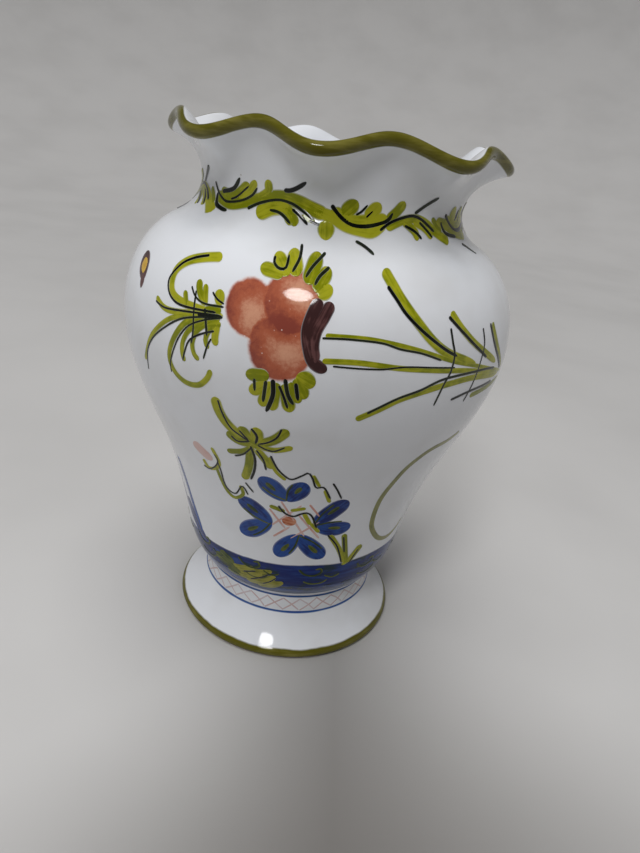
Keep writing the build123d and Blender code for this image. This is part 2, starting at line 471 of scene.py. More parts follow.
# %% The ground that every finish shares
def build_ground():
    tree, given, result = new_tree("tin glaze ground", "ShaderNodeTree", [
        ("Thick", "Color", (0.84, 0.86, 0.90, 1)), ("Thin", "Color", (0.76, 0.77, 0.79, 1)),
        ("Pinhole", "Color", (0.42, 0.38, 0.33, 1)), ("Patches", "Float", 24.0),
        ("Rings", "Float", 0.25)],
        [("Color", "Color"), ("Height", "Float")])
    place = here(tree)
    patch = noise(tree, place, given["Patches"], 3.0, 0.55)
    color = blend(tree, ramp(tree, patch, 0.42, 0.75), given["Thick"], given["Thin"])
    cells = add(tree, "ShaderNodeTexVoronoi", {"Vector": place, "Scale": 170.0})
    rare = math_of(tree, "GREATER_THAN", split(tree, cells.outputs["Color"])[0], 0.93)
    hole = times(tree, ramp(tree, cells.outputs["Distance"], 0.03, 0.07, 1.0, 0.0), rare)
    color = blend(tree, hole, color, given["Pinhole"])
    height = split(tree, place)[2]
    wander = times(tree, noise(tree, place, 14.0), 9.0)
    rings = math_of(tree, "SINE", times_plus(tree, height, 620.0, wander))
    swell = times_plus(tree, rings, times(tree, given["Rings"], 0.12), noise(tree, place, 38.0, 2.0))
    fine = times_plus(tree, noise(tree, place, 420.0, 1.0), 0.05, swell)
    total = times_plus(tree, hole, -0.25, fine)
    tree.links.new(color, result["Color"])
    tree.links.new(total, result["Height"])
    return tree


GROUND = build_ground()
print("ground group has", len(GROUND.nodes), "nodes")

# %% A glossy finish around any colour
GLOSS, GLASS_BEND, SHINE = 0.07, 1.52, 0.25
RELIEF = 0.0003


def glossy(name, roughness=GLOSS):
    """A material that has its gloss and its relief already, and waits for its colour."""
    material = bpy.data.materials.new(name)
    material.use_nodes = True
    tree = material.node_tree
    shader = tree.nodes["Principled BSDF"]
    shader.inputs["Roughness"].default_value = roughness
    shader.inputs["IOR"].default_value = GLASS_BEND
    shader.inputs["Specular IOR Level"].default_value = SHINE
    ground = group(tree, GROUND)
    bump = add(tree, "ShaderNodeBump", {"Strength": 0.35, "Distance": RELIEF, "Height": ground["Height"]})
    tree.links.new(bump.outputs[0], shader.inputs["Normal"])
    return material, tree, ground, shader


def finish(tree, shader, color):
    tree.links.new(color, shader.inputs["Base Color"])


print("gloss", GLOSS, "relief in metres", RELIEF)

# %% [markdown]
# ## Bands turned on the banding wheel
# The olive edges and the blue lines are held against the turning pot with a loaded brush, so they run level
# but waver, and their colour thins where the brush lifts. A shared group gives such a band's mask from the
# distance to its middle.
# %% Band and sponge groups
def build_band():
    tree, given, result = new_tree("wheel band", "ShaderNodeTree", [
        ("Distance", "Float", 0.0), ("Half", "Float", 0.001), ("Wander", "Float", 0.001),
        ("Soft", "Float", 0.0004)], [("Mask", "Float"), ("Load", "Float")])
    place = here(tree)
    drift = minus(tree, noise(tree, place, 55.0, 3.0), 0.5)
    edge = times_plus(tree, drift, given["Wander"], given["Half"])
    off = minus(tree, math_of(tree, "ABSOLUTE", given["Distance"]), edge)
    share = over(tree, off, given["Soft"])
    tree.links.new(ramp(tree, share, -1.0, 1.0, 1.0, 0.0), result["Mask"])
    tree.links.new(noise(tree, vector_of(tree, "MULTIPLY", place, (1, 1, 6)), 60.0, 3.0, 0.6), result["Load"])
    return tree


def build_chart():
    """How far round and how high a spot is, from the front if Side is 1 and from the back if it is -1."""
    tree, given, result = new_tree("wall chart", "ShaderNodeTree", [("Side", "Float", 1.0)],
                                   [("Chart", "Vector")])
    x, y, z = split(tree, here(tree))
    radius = vector_of(tree, "LENGTH", joined(tree, x, y, 0.0), output="Value")
    back = times(tree, y, times(tree, given["Side"], -1.0))
    angle = math_of(tree, "ARCTAN2", times(tree, x, given["Side"]), back)
    tree.links.new(joined(tree, times(tree, angle, radius), z, 0.0), result["Chart"])
    return tree


def build_dab():
    """A sponge pressed once: full at the rim, paler where the pressure was least."""
    tree, given, result = new_tree("sponge dab", "ShaderNodeTree", [
        ("Chart", "Vector", None), ("Middle", "Vector", (0, 0, 0)),
        ("Pale", "Vector", (0, 0, 0)), ("Radius", "Float", 0.01)],
        [("Mask", "Float"), ("Depth", "Float")])
    ragged = times(tree, minus(tree, noise(tree, here(tree), 180.0, 4.0, 0.6), 0.5), 0.22)
    far = vector_of(tree, "DISTANCE", given["Chart"], given["Middle"], "Value")
    share = plus(tree, over(tree, far, given["Radius"]), ragged)
    tree.links.new(ramp(tree, share, 0.87, 1.03, 1.0, 0.0), result["Mask"])
    away = vector_of(tree, "DISTANCE", given["Chart"], given["Pale"], "Value")
    depth = plus(tree, over(tree, away, given["Radius"]), ragged)
    tree.links.new(ramp(tree, depth, -0.1, 1.15), result["Depth"])
    return tree


BAND, CHART, DAB = build_band(), build_chart(), build_dab()
print("band, chart and dab groups", len(BAND.nodes), len(CHART.nodes), len(DAB.nodes))

# %% Colours of the painter's box
OLIVE, OLIVE_THIN = (0.110, 0.100, 0.010), (0.19, 0.17, 0.035)
BLUE, BLUE_THIN = (0.006, 0.018, 0.135), (0.020, 0.075, 0.31)
LINE_BLUE = (0.030, 0.10, 0.32)
SMUDGE, BLUE_WASHED = (0.012, 0.030, 0.022), (0.12, 0.15, 0.21)
RED, RED_DEEP, RED_PALE = (0.43, 0.090, 0.028), (0.24, 0.028, 0.008), (0.68, 0.32, 0.19)
CLAY, CLAY_DARK = (0.62, 0.50, 0.38), (0.45, 0.33, 0.23)


def banded(tree, under, distance, half, wander, soft, full, thin):
    band = group(tree, BAND, Distance=distance, Half=half, Wander=wander, Soft=soft)
    color = blend(tree, ramp(tree, band["Load"], 0.45, 0.72), full, thin)
    return blend(tree, band["Mask"], under, color), band["Mask"]


def from_height(tree, height):
    return minus(tree, split(tree, here(tree))[2], height)


def blue_line(tree, under, height):
    """A fine line, half a millimetre to each side of its height."""
    distance = from_height(tree, height)
    return banded(tree, under, distance, 0.00055, 0.0005, 0.00025, LINE_BLUE, BLUE_THIN)[0]



print("full blue", BLUE, "thin blue", BLUE_THIN)

# %% Glaze of the foot: olive edge, two blue lines, and a bare ring where it stood in the kiln
LOWER_LINE, UPPER_LINE = 0.0195, 0.0295


def foot_glaze():
    material, tree, ground, shader = glossy("foot glaze")
    edge = from_height(tree, 0.0005)
    color, _ = banded(tree, ground["Color"], edge, 0.0047, 0.0016, 0.0004, OLIVE, OLIVE_THIN)
    for height in (LOWER_LINE, UPPER_LINE):
        color = blue_line(tree, color, height)
    color = blend(tree, attribute(tree, "outside"), ground["Color"], color)
    bare, mask = banded(tree, color, from_height(tree, -0.001), 0.0016, 0.0004, 0.0002, CLAY, CLAY_DARK)
    finish(tree, shader, bare)
    tree.links.new(times_plus(tree, mask, 0.75, GLOSS), shader.inputs["Roughness"])
    return material


FOOT_GLAZE = foot_glaze()
print("made", FOOT_GLAZE.name)

# %% Glaze of the collar: an olive edge rolled over the lip, more on its outside than its inside
OLIVE_OUTSIDE, OLIVE_INSIDE = 0.0060, 0.0012


def collar_glaze():
    material, tree, ground, shader = glossy("collar glaze")
    past = minus(tree, attribute(tree, "lip"), (OLIVE_INSIDE - OLIVE_OUTSIDE) / 2)
    half = (OLIVE_INSIDE + OLIVE_OUTSIDE) / 2
    color, _ = banded(tree, ground["Color"], past, half, 0.0011, 0.00035, OLIVE, OLIVE_THIN)
    finish(tree, shader, color)
    return material


COLLAR_GLAZE = collar_glaze()
print("made", COLLAR_GLAZE.name)

# %% Glaze of the body: a deep blue band low down, and sponged flower heads on both sides
BLUE_LOW, BLUE_HIGH, BLUE_TILT, BLUE_RADIUS = 0.0340, 0.0578, 0.0024, 0.058
PETALS = (((-24.6, 185.3), (-22.5, 184), 10.4), ((-9.6, 189.6), (-7, 192), 11.0),
          ((-12.2, 173.6), (-9.5, 173.5), 12.4))
PETALS_MEET = (-11.5, 181)
SPECK = (0.80, 0.62, 0.55)


def blue_band(tree, under):
    place = here(tree)
    x, _, z = split(tree, place)
    lean = times(tree, x, BLUE_TILT / BLUE_RADIUS)
    middle = minus(tree, minus(tree, z, (BLUE_LOW + BLUE_HIGH) / 2), lean)
    band = group(tree, BAND, Distance=middle, Half=(BLUE_HIGH - BLUE_LOW) / 2, Wander=0.0022, Soft=0.0005)
    streak = noise(tree, vector_of(tree, "MULTIPLY", place, (1, 1, 9)), 45.0, 4.0, 0.6)
    low = ramp(tree, middle, -0.0118, -0.0055, 0.85, 0.0)
    color = blend(tree, ramp(tree, streak, 0.42, 0.75, 0.0, 0.8), BLUE, BLUE_THIN)
    smudge = noise(tree, vector_of(tree, "MULTIPLY", place, (1, 1, 2.2)), 75.0, 3.0, 0.6)
    color = blend(tree, ramp(tree, smudge, 0.50, 0.64, 0.0, 0.8), color, SMUDGE)
    color = blend(tree, low, color, BLUE_WASHED)
    return blend(tree, band["Mask"], under, color)


def on_chart(x, z):
    return x * MM, z * MM, 0


def flower_head(tree, under, side):
    chart = group(tree, CHART, Side=side)["Chart"]
    masks, depths = [], []
    for middle, pale, radius in PETALS:
        dab = group(tree, DAB, Chart=chart, Middle=on_chart(*middle), Pale=on_chart(*pale),
                    Radius=radius * MM)
        masks.append(dab["Mask"])
        depths.append(times(tree, dab["Mask"], dab["Depth"]))
    mask, depth = masks[0], depths[0]
    for other, deeper in zip(masks[1:], depths[1:]):
        mask = plus(tree, mask, other, clamp=True)
        depth = math_of(tree, "MAXIMUM", depth, deeper)
    grain = minus(tree, noise(tree, here(tree), 700.0, 5.0, 0.7), 0.5)
    cloud = minus(tree, noise(tree, here(tree), 110.0, 2.0), 0.5)
    depth = times_plus(tree, grain, 0.9, times_plus(tree, cloud, 1.1, depth))
    meeting = vector_of(tree, "DISTANCE", chart, on_chart(*PETALS_MEET), "Value")
    depth = plus(tree, depth, ramp(tree, meeting, 0.001, 0.008, 0.45, 0.0))
    color = blend(tree, ramp(tree, depth, 0.0, 0.75), RED_PALE, RED)
    color = blend(tree, ramp(tree, depth, 0.65, 1.3), color, RED_DEEP)
    cells = add(tree, "ShaderNodeTexVoronoi", {"Vector": here(tree), "Scale": 420.0})
    rare = math_of(tree, "GREATER_THAN", split(tree, cells.outputs["Color"])[1], 0.64)
    speck = times(tree, ramp(tree, cells.outputs["Distance"], 0.05, 0.16, 0.8, 0.0), rare)
    color = blend(tree, speck, color, SPECK)
    return blend(tree, times(tree, mask, 0.96), under, color)


def body_glaze():
    material, tree, ground, shader = glossy("body glaze")
    color = blue_band(tree, blue_line(tree, ground["Color"], UPPER_LINE))
    for side in (1.0, -1.0):
        color = flower_head(tree, color, side)
    finish(tree, shader, blend(tree, attribute(tree, "outside"), ground["Color"], color))
    return material


BODY_GLAZE = body_glaze()
print("made", BODY_GLAZE.name, "with", len(BODY_GLAZE.node_tree.nodes), "nodes")

# %% [markdown]
# ## Turning the three pieces
# The lathe runs three times. The foot piece also covers the thin slip above it, and the collar piece the
# slip below it, because one coat of glaze hides both joints on the real pot.
# %% Turn the foot, the body and the collar
def turned(name, seed, glaze):
    settings = {"Ring": ring, "Segments": SEGMENTS, "Weld": SEAM, "Glaze": glaze}
    return grown(name, seed, LATHE, settings, CREASE)


def volume_of(piece):
    mesh = piece.data
    corners = ([mesh.vertices[corner].co for corner in tri.vertices] for tri in mesh.loop_triangles)
    return sum(a.dot(b.cross(c)) for a, b, c in corners) / 6


foot = turned("glazed_foot", outline_seed("foot", foot_outline()), FOOT_GLAZE)
body = turned("glazed_body", outline_seed("body", body_outline()), BODY_GLAZE)
collar_lines = [collar_outline(wave, oval) for wave, oval in ((0, 0), (1, 0), (-1, 0), (0, 1), (0, -1))]
collar = turned("glazed_collar", outline_seed("collar", *collar_lines), COLLAR_GLAZE)
for piece, nodes in ((foot, ("foot", "foot_slip")), (body, ("body",)), (collar, ("collar", "neck_slip"))):
    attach(piece, BODY)
    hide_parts(*nodes)
    print(piece.name, "holds", round(volume_of(piece) * 1e6, 1), "cubic centimetres of clay")

# %% [markdown]
# ## Brush strokes that lie on the pot
# Each stroke is a line of a few spots on a chart of the wall: how far round from the front, and how high,
# in millimetres. The tree bends a smooth curve through the spots, gives it a round head and a drawn-out
# tail, and lays it on the wall as a low ridge of glaze. Flat decals would float or sink on this double
# curve; the tree looks the wall's radius up at each height, and lifts each layer of paint a hair above the
# last.
# %% The brush tip and the wall that the tree reads
TIP = ((-1, 0.25), (-0.72, 0.75), (-0.3, 1), (0.3, 1), (0.72, 0.75), (1, 0.25), (0.85, -2), (-0.85, -2))
CHART_LOW, CHART_STEP, CHART_TOP = 0.006, 0.0003, 0.238
SPACING, THICKNESS, BRUSH_WELD, BRUSH_CREASE = 0.0007, 0.00008, 0.0000005, 50


def brush_tip():
    loop = [(k, (k + 1) % len(TIP)) for k in range(len(TIP))]
    return points_object("brush tip", [(a, b, 0) for a, b in TIP], loop,
                         across=[a for a, b in TIP], rise=[b for a, b in TIP])


def wall_points():
    heights = np.arange(CHART_LOW, CHART_TOP, CHART_STEP)
    foot_line, body_line = foot_outline(), body_outline()
    radius, height = foot_line.T
    low = foot_line[(radius > WAIST - 0.5) & (height > FLARE_START[1]) & (height < FOOT_TOP - 0.1)]
    pot = body_line[FLOOR_POINTS:FLOOR_POINTS + BODY_POINTS - 2]
    radii = []
    for wave in (0, 1, -1):
        rim = collar_outline(wave, 0)[:COLLAR_POINTS + 1]
        line = np.vstack([low, pot, rim[1:]]) * MM
        radii.append(np.interp(heights, line[:, 1], line[:, 0]))
    middle, lobe, crease = radii
    return points_object("wall", [(0, 0, z) for z in heights], radius=middle, reach=(lobe - crease) / 2,
                         bend=(lobe + crease) / 2 - middle)


tip, wall = brush_tip(), wall_points()
print("wall read at", len(wall.data.vertices), "heights")

# %% Build the brush
def build_brush():
    tree, given, result = new_tree("brush stroke", "GeometryNodeTree", [
        ("Spots", "Geometry", None), ("Tip", "Object", None), ("Wall", "Object", None),
        ("Ring", "Object", None), ("Spacing", "Float", SPACING),
        ("Thickness", "Float", THICKNESS), ("Paint", "Material", None)],
        [("Strokes", "Geometry")])
    curve = add(tree, "GeometryNodeMeshToCurve", {"Mesh": given["Spots"]}).outputs[0]
    curve = add(tree, "GeometryNodeCurveSplineType", {"Curve": curve}, spline_type="CATMULL_ROM").outputs[0]
    length = add(tree, "GeometryNodeSplineLength").outputs["Length"]
    order = add(tree, "GeometryNodeInputIndex").outputs[0]
    for label, value, kind in (("order", order, "INT"), ("length", length, "FLOAT")):
        curve = stored(tree, curve, label, value, kind, "CURVE")
    count = math_of(tree, "MAXIMUM", over(tree, length, given["Spacing"]), 12.0)
    even = add(tree, "GeometryNodeResampleCurve", {"Curve": curve, "Count": count}).outputs[0]
    factor = add(tree, "GeometryNodeSplineParameter").outputs["Factor"]
    share = times(tree, minus(tree, 1.0, math_of(tree, "COSINE", times(tree, factor, math.pi))), 0.5)
    which = {"Curves": curve, "Factor": share, "Curve Index": named(tree, "order", "INT")}
    spot = add(tree, "GeometryNodeSampleCurve", which, mode="FACTOR").outputs
    ahead = split(tree, vector_of(tree, "NORMALIZE", spot["Tangent"]))
    side = joined(tree, times(tree, ahead[1], -1.0), ahead[0], 0.0)
    for label, value, kind in (("share", share, "FLOAT"), ("spot", spot["Position"], "FLOAT_VECTOR"),
                               ("side", side, "FLOAT_VECTOR")):
        even = stored(tree, even, label, value, kind)
    bristles = add(tree, "GeometryNodeObjectInfo", {"Object": given["Tip"]}).outputs["Geometry"]
    bristles = add(tree, "GeometryNodeMeshToCurve", {"Mesh": bristles}).outputs[0]
    ribbon = add(tree, "GeometryNodeCurveToMesh", {"Curve": even, "Profile Curve": bristles}).outputs[0]
    half, share = named(tree, "half"), named(tree, "share")
    ends = []
    for label, reach in (("head", share), ("tail", minus(tree, 1.0, share))):
        way = over(tree, times(tree, reach, named(tree, "length")), times(tree, half, named(tree, label)))
        gap = minus(tree, 1.0, math_of(tree, "MINIMUM", way, 1.0))
        ends.append(math_of(tree, "SQRT", minus(tree, 1.0, times(tree, gap, gap), clamp=True)))
    width = times(tree, times(tree, half, ends[0]), ends[1])
    offset = times(tree, width, named(tree, "across"))
    place = split(tree, vector_of(tree, "ADD", named(tree, "spot", "FLOAT_VECTOR"),
                                  scaled(tree, named(tree, "side", "FLOAT_VECTOR"), offset)))
    placed = lay_on_wall(tree, given, place)
    run = times(tree, share, named(tree, "length"))
    ribbon = stored(tree, ribbon, "brushed", joined(tree, run, offset, 0.0), "FLOAT_VECTOR")
    hand_over(tree, ribbon, placed, BRUSH_WELD, given["Paint"], result["Strokes"])
    return tree


def lay_on_wall(tree, given, place):
    """Turns a spot on the chart into a place on the pot, lifted by the stroke's layer and the tip's rise."""
    wall_shape = add(tree, "GeometryNodeObjectInfo", {"Object": given["Wall"]}).outputs["Geometry"]
    ring_shape = add(tree, "GeometryNodeObjectInfo", {"Object": given["Ring"]}).outputs["Geometry"]
    height = place[1]
    row = over(tree, minus(tree, height, CHART_LOW), CHART_STEP)
    plain = sample_between(tree, wall_shape, named(tree, "radius"), row)
    angle = plus(tree, over(tree, place[0], plain), named(tree, "turn"))
    share = math_of(tree, "FRACT", plus(tree, over(tree, angle, 2 * math.pi), 0.5))
    wave = sample_between(tree, ring_shape, named(tree, "wave"), times(tree, share, float(SEGMENTS)))
    reach = sample_between(tree, wall_shape, named(tree, "reach"), row)
    bend = sample_between(tree, wall_shape, named(tree, "bend"), row)
    radius = times_plus(tree, wave, times_plus(tree, wave, bend, reach), plain)
    above = sample_between(tree, wall_shape, named(tree, "radius"), plus(tree, row, 2.0))
    below = sample_between(tree, wall_shape, named(tree, "radius"), minus(tree, row, 2.0))
    slope = over(tree, minus(tree, below, above), 4 * CHART_STEP)
    outward = split(tree, vector_of(tree, "NORMALIZE", joined(tree, 1.0, 0.0, slope)))
    lift = times_plus(tree, named(tree, "rise"), given["Thickness"], named(tree, "layer"))
    reached = times_plus(tree, outward[0], lift, radius)
    return joined(tree, times(tree, reached, math_of(tree, "SINE", angle)),
                  times(tree, times(tree, reached, math_of(tree, "COSINE", angle)), -1.0),
                  times_plus(tree, outward[2], lift, height))


BRUSH = build_brush()
print("brush tree has", len(BRUSH.nodes), "nodes")

# %% A sheet to note the strokes on
LAYERS = {"blue": 0, "olive": 0, "rose": 0, "blush": 0, "red": 0.01, "leaf": 0.03, "moss": 0.04,
          "fern": 0.045, "plum": 0.05, "ochre": 0.08, "liner": 0.09}
PRESS = {"leaf": 1.16, "liner": 1.04}
TAILS = {"leaf": 1.2, "liner": 3.0}
BACK = math.pi
strokes = {paint: [] for paint in LAYERS}
tones = np.random.default_rng(7)
facing = 0.0


def stroke(paint, width, *spots, head=1.0, tail=None):
    """Notes one stroke. Each spot is how far round from the middle and how high, in millimetres."""
    half = width * PRESS.get(paint, 1.0) / 2
    strokes[paint].append((half, head, tail or TAILS.get(paint, 1.4), facing, float(tones.random()), spots))


def many(paint, *rows, press=1.0, **ends):
    """Notes several strokes of one paint. Each row is a width and its spots."""
    for width, *spots in rows:
        stroke(paint, width * press, *spots, **ends)


def painted_at(turn, *motifs):
    """Paints motifs one after another with the pot turned on its axis."""
    global facing
    facing = turn
    for motif in motifs:
        motif()


def on_both_sides(*motifs):
    painted_at(0.0, *motifs)
    painted_at(BACK, *motifs)
    print("strokes so far", sum(len(kept) for kept in strokes.values()))


print("paints", ", ".join(strokes))

# %% [markdown]
# ## The carnation and its stems
# The flower lies on its side across the shoulder: two green tufts over and under the sponged petals, a plum
# calyx, and stems that run round to the right. Tufts are short pressed dabs, most with a dark line along
# them.
# %% Flower tufts and calyx
def tufts():
    many("leaf", (4.2, (-14, 198), (-23, 199)), (4.6, (-12, 198), (-18, 204)), (5, (-9, 198), (-12, 206)),
         (5.2, (-5, 196), (-2.5, 206)), (4.8, (-2, 194), (2, 202)), (5, (-1, 193), (4, 196)))
    many("leaf", (4.8, (-15, 163), (-24, 162)), (5, (-15, 160), (-22, 155)), (4.4, (-14, 161), (-17, 150)),
         (4.2, (-12, 161), (-13, 149)), (4.8, (-9, 161), (-6, 149.5)), (4, (-7, 162), (-3, 154)),
         (5, (-5, 164), (-1, 156)), (6.6, (-5, 165), (2, 162)))
    stroke("liner", 1.0, (-18, 203), (-18, 201), (-16, 199.5), (-13.5, 200), (-13, 204))
    many("liner", (1.1, (-9, 207.5), (-9, 203.5), (-11, 199)), (1.1, (0, 206), (-4, 201.5), (-6, 198)),
         (1.2, (2, 202), (-1, 199), (-2.5, 196)), (1.1, (-20.5, 161), (-20, 156)),
         (1.4, (-16, 161), (-16.5, 152)), (1.8, (-13.5, 162), (-13, 155.5), (-15, 148)),
         (1.1, (-11, 160), (-9, 156), (-7, 151)), (1.6, (-9, 163), (-7.5, 157), (-5, 153)),
         (1.5, (-5, 162), (-3.5, 155)))


def calyx():
    stroke("plum", 4.8, (0.2, 192), (-2, 186.5), (-3, 181), (-1.7, 175), (0.5, 170.5), (5.5, 168))
    stroke("plum", 4.6, (4.2, 191.5), (2.2, 186.5), (0.0, 181.5), (-0.4, 176), (1.2, 170.5))


def stems():
    stroke("leaf", 1.6, (3.5, 180.5), (20, 180.5), (38, 177.5), (58, 172), (75, 168), (104, 160), tail=8)
    stroke("liner", 0.8, (2.5, 179.5), (12, 180), (24, 179.5), (32, 177.5), (41, 176), (51, 173))
    stroke("leaf", 2.0, (3.5, 171.5), (17, 172), (33, 170.5), (51, 169), (69, 167), (98, 161.5), tail=8)
    stroke("liner", 0.7, (7.5, 170), (25, 170), (37, 171), (59, 169.5))


on_both_sides(tufts, calyx, stems)

# %% The spray of blades on the right, with its liner lines and hatching
def spray():
    stroke("leaf", 3.4, (22, 203), (26, 198.5), (30.5, 193.5), (38, 186.5), (46.5, 179.5), (56, 174.5),
           (72, 169.5), tail=6)
    stroke("leaf", 2.6, (53, 190), (60.5, 183.5), (71.5, 176.5), (91, 167), tail=5)
    stroke("leaf", 2.5, (19, 149), (28, 154), (35.5, 158), (46, 161), (58, 163), (74, 163.5), (99, 160),
           tail=6)
    stroke("leaf", 2.3, (74, 155), (93, 156), (104, 157), tail=6)
    stroke("leaf", 2.2, (82, 184), (90, 174), (103, 162), tail=5)
    many("liner", (1.2, (24, 198), (28, 194), (33, 189), (41.5, 183), (52, 177), (59, 174)),
         (1.2, (52, 188.5), (60, 183), (69.5, 177), (80, 171)), (1.3, (80, 184), (87, 174.5), (101, 162)),
         (1.1, (23, 152), (33.5, 158), (43.5, 161.5), (55.5, 165.5), (77, 166), (91, 164.5)),
         (1.2, (61, 155.5), (73, 157.5), (92, 158)),
         (1.0, (53.5, 184.5), (55.5, 179.5), (57.5, 174.5), (57, 168), (54.5, 162.5), (52, 154)),
         (0.9, (74, 183), (76.5, 176.5), (75.5, 169.5), (73.5, 161.5), (70, 153)))


on_both_sides(spray)

# %% The feathery palm on the left, with a small dark bud beyond it
PALM_PRESS = 1.25


def palm():
    many("leaf",
         (2.3, (-39, 199.5), (-47, 198), (-55, 195.5), (-60.5, 191.5), (-61.5, 186.5), (-59, 183),
          (-52, 181.5), (-38, 181)), (1.8, (-70, 180), (-64.5, 177.5), (-58, 177.5), (-49, 179)),
         (1.5, (-35, 181), (-45, 179), (-53.5, 177), (-61.5, 173.5), (-69.5, 167), (-74, 161), (-78, 152)),
         (1.8, (-36, 180), (-45, 177.5), (-51.5, 175), (-56.5, 169), (-59.5, 162), (-59, 157), (-55.5, 153),
          (-50, 151), (-44, 152), (-40, 156), (-38.5, 160)),
         (1.6, (-40, 178.5), (-48.5, 173.5), (-52, 168.5), (-52.5, 163.5), (-51, 160)),
         (1.6, (-40, 178), (-45.5, 173.5), (-47.5, 168.5), (-46.5, 164.5), (-44, 162.5)),
         (1.6, (-39, 177), (-41.5, 171.5), (-40, 168)), (2.3, (-37, 178), (-37.5, 172.5), (-36.5, 170)),
         (2.3, (-47, 191), (-46.5, 187.5), (-43, 183)), (1.8, (-44, 190), (-43, 183)),
         (1.8, (-53.5, 186), (-52, 181)), (3.2, (-37.5, 189.5), (-37, 184)), (3.2, (-36, 183), (-44, 180)),
         (2.4, (-35.5, 178), (-42, 176)), press=PALM_PRESS)
    many("liner",
         (0.9, (-45, 199), (-52, 197), (-58, 194), (-63, 189), (-63.5, 185.5), (-60.5, 182), (-54, 180.5),
          (-38, 181.5)), (0.8, (-70, 178.5), (-64, 177.5), (-55, 178.5), (-47.5, 179.5), (-39, 180.5)),
         (0.8, (-35.5, 180.5), (-45, 178.5), (-54.5, 175.5), (-64, 169.5), (-71.5, 163), (-75.5, 156),
          (-76, 148)),
         (0.7, (-36, 180), (-42.5, 178), (-49.5, 174.5), (-54, 169.5), (-57, 163.5), (-59, 157),
          (-58.5, 153)), (0.8, (-38, 175), (-44, 172.5), (-49, 169), (-51, 164.5), (-52, 160)),
         (0.8, (-39, 172), (-40.5, 169), (-42, 163.5)),
         (0.8, (-50.5, 188), (-48, 185), (-43.5, 183.5), (-35, 184)),
         (0.8, (-40.5, 188), (-38, 186), (-35, 185)),
         (0.8, (-48, 187), (-48, 180.5), (-47.5, 173), (-48, 168)),
         (1.1, (-43, 182), (-42, 177.5), (-41, 172.5)), (1.9, (-46, 179), (-35, 180.5)))
    stroke("plum", 12.0, (-88.0, 193.0), (-83.5, 183), head=1.2, tail=2.2)
    stroke("plum", 5.0, (-84.0, 185.0), (-84.5, 180), tail=3)
    stroke("ochre", 7.0, (-86.6, 190.8), (-84.6, 185.5))


on_both_sides(palm)

# %% [markdown]
# ## The lower flowers
# Under the carnation hang a leafy sprig with a pink bud, a winding tendril, and a flower of eight blue
# petals round a red dot. A blue petal is one pressed dab with a green dab wet on top, which is why the two
# colours run together along its middle.
# %% The sprig, its bud and its tendril
SPRIG_PRESS = 1.2


def sprig():
    many("leaf", (3.6, (-36.5, 149), (-34.5, 143), (-30.5, 137.5), (-24, 132.5)),
         (4, (-25.5, 138), (-20.5, 131.5)), (3.3, (-31, 133.5), (-26, 130.5), (-20, 130.5)),
         (4.3, (-18.7, 139.5), (-17.5, 131)), (3.5, (-6, 141), (-11, 135), (-17.5, 131)),
         (2.2, (-18, 130), (-10.5, 129.5), (-3.5, 132.5)), (2.2, (-31, 122.5), (-24, 125), (-20, 128.5)),
         (3, (-20.5, 129), (-21, 117.5), (-23, 108)), (3, (-18, 128), (-14, 123), (-11, 118.5)),
         (1.5, (-44.5, 111), (-41.5, 107), (-37, 109), (-35.5, 113.5), (-39, 121)),
         (1.4, (-37, 109), (-34.5, 102), (-31.5, 96.5), (-27.5, 94), (-23.5, 98), (-25, 103)),
         (1.3, (-12.5, 125), (-9.5, 117.5), (-5, 113)), (1.3, (6, 118), (9.5, 111)),
         (1.4, (12, 109), (15, 101)), press=SPRIG_PRESS)
    stroke("leaf", 4.2, (-21.5, 131.5), (-16, 129.5))
    stroke("rose", 5.6, (-49.5, 119.5), (-44.5, 116), (-39, 113))
    many("liner", (0.9, (-35, 148), (-33, 142.5), (-29.5, 136.5), (-25, 133.5), (-21, 131.5)),
         (0.9, (-25.5, 136), (-21.5, 132)), (0.9, (-29, 132), (-26, 130), (-21, 131.5)),
         (1.2, (-20.5, 138.5), (-18, 135), (-18.5, 131)),
         (0.9, (-8.5, 141), (-10, 136.5), (-13.5, 133), (-17.5, 131)),
         (0.9, (-17.5, 130.5), (-14, 129), (-10.5, 129), (-6.5, 132)),
         (0.9, (-27.5, 121), (-23.5, 123.5), (-20, 128.5)),
         (1.1, (-20.5, 129), (-18.5, 122.5), (-18.5, 115.5), (-20, 109)),
         (1.0, (-18, 127.5), (-15, 123), (-13.5, 117)),
         (0.8, (-44.5, 107), (-41, 106.5), (-37.5, 110), (-36, 114.5), (-38, 117.5)),
         (0.8, (-36, 113), (-34.5, 107.5), (-33, 101), (-30.5, 97.5), (-27, 97), (-24, 103), (-21, 98.5)),
         (0.8, (-22.5, 106), (-18.5, 101)),
         (0.9, (-12, 126), (-9, 119.5), (-5.5, 115.5), (-2.5, 114), (1.5, 117), (4, 119), (6, 116),
          (8, 110.5), (11.5, 110.5), (15, 103.5)))


on_both_sides(sprig)

# %% The blue flower and the grass beside it
BLUE_PETALS = ((10.6, (-16.0, 112), (-11, 107), (-3.2, 100)), (10.4, (3.2, 112.8), (0.8, 107), (-3.8, 99.8)),
               (9.6, (-25.8, 95), (-18, 90.5), (-9.5, 82.8)), (11.0, (-24, 72.5), (-17.5, 78), (-9.5, 84.5)),
               (9.4, (23.4, 102), (17, 95), (9.8, 86.3)), (9.4, (27.3, 84.7), (18.5, 83), (9.8, 85.3)),
               (10.0, (-5.4, 62.8), (-2, 70), (3.6, 78.6)), (10.2, (16.4, 63.6), (10.5, 70), (3, 78.6)))


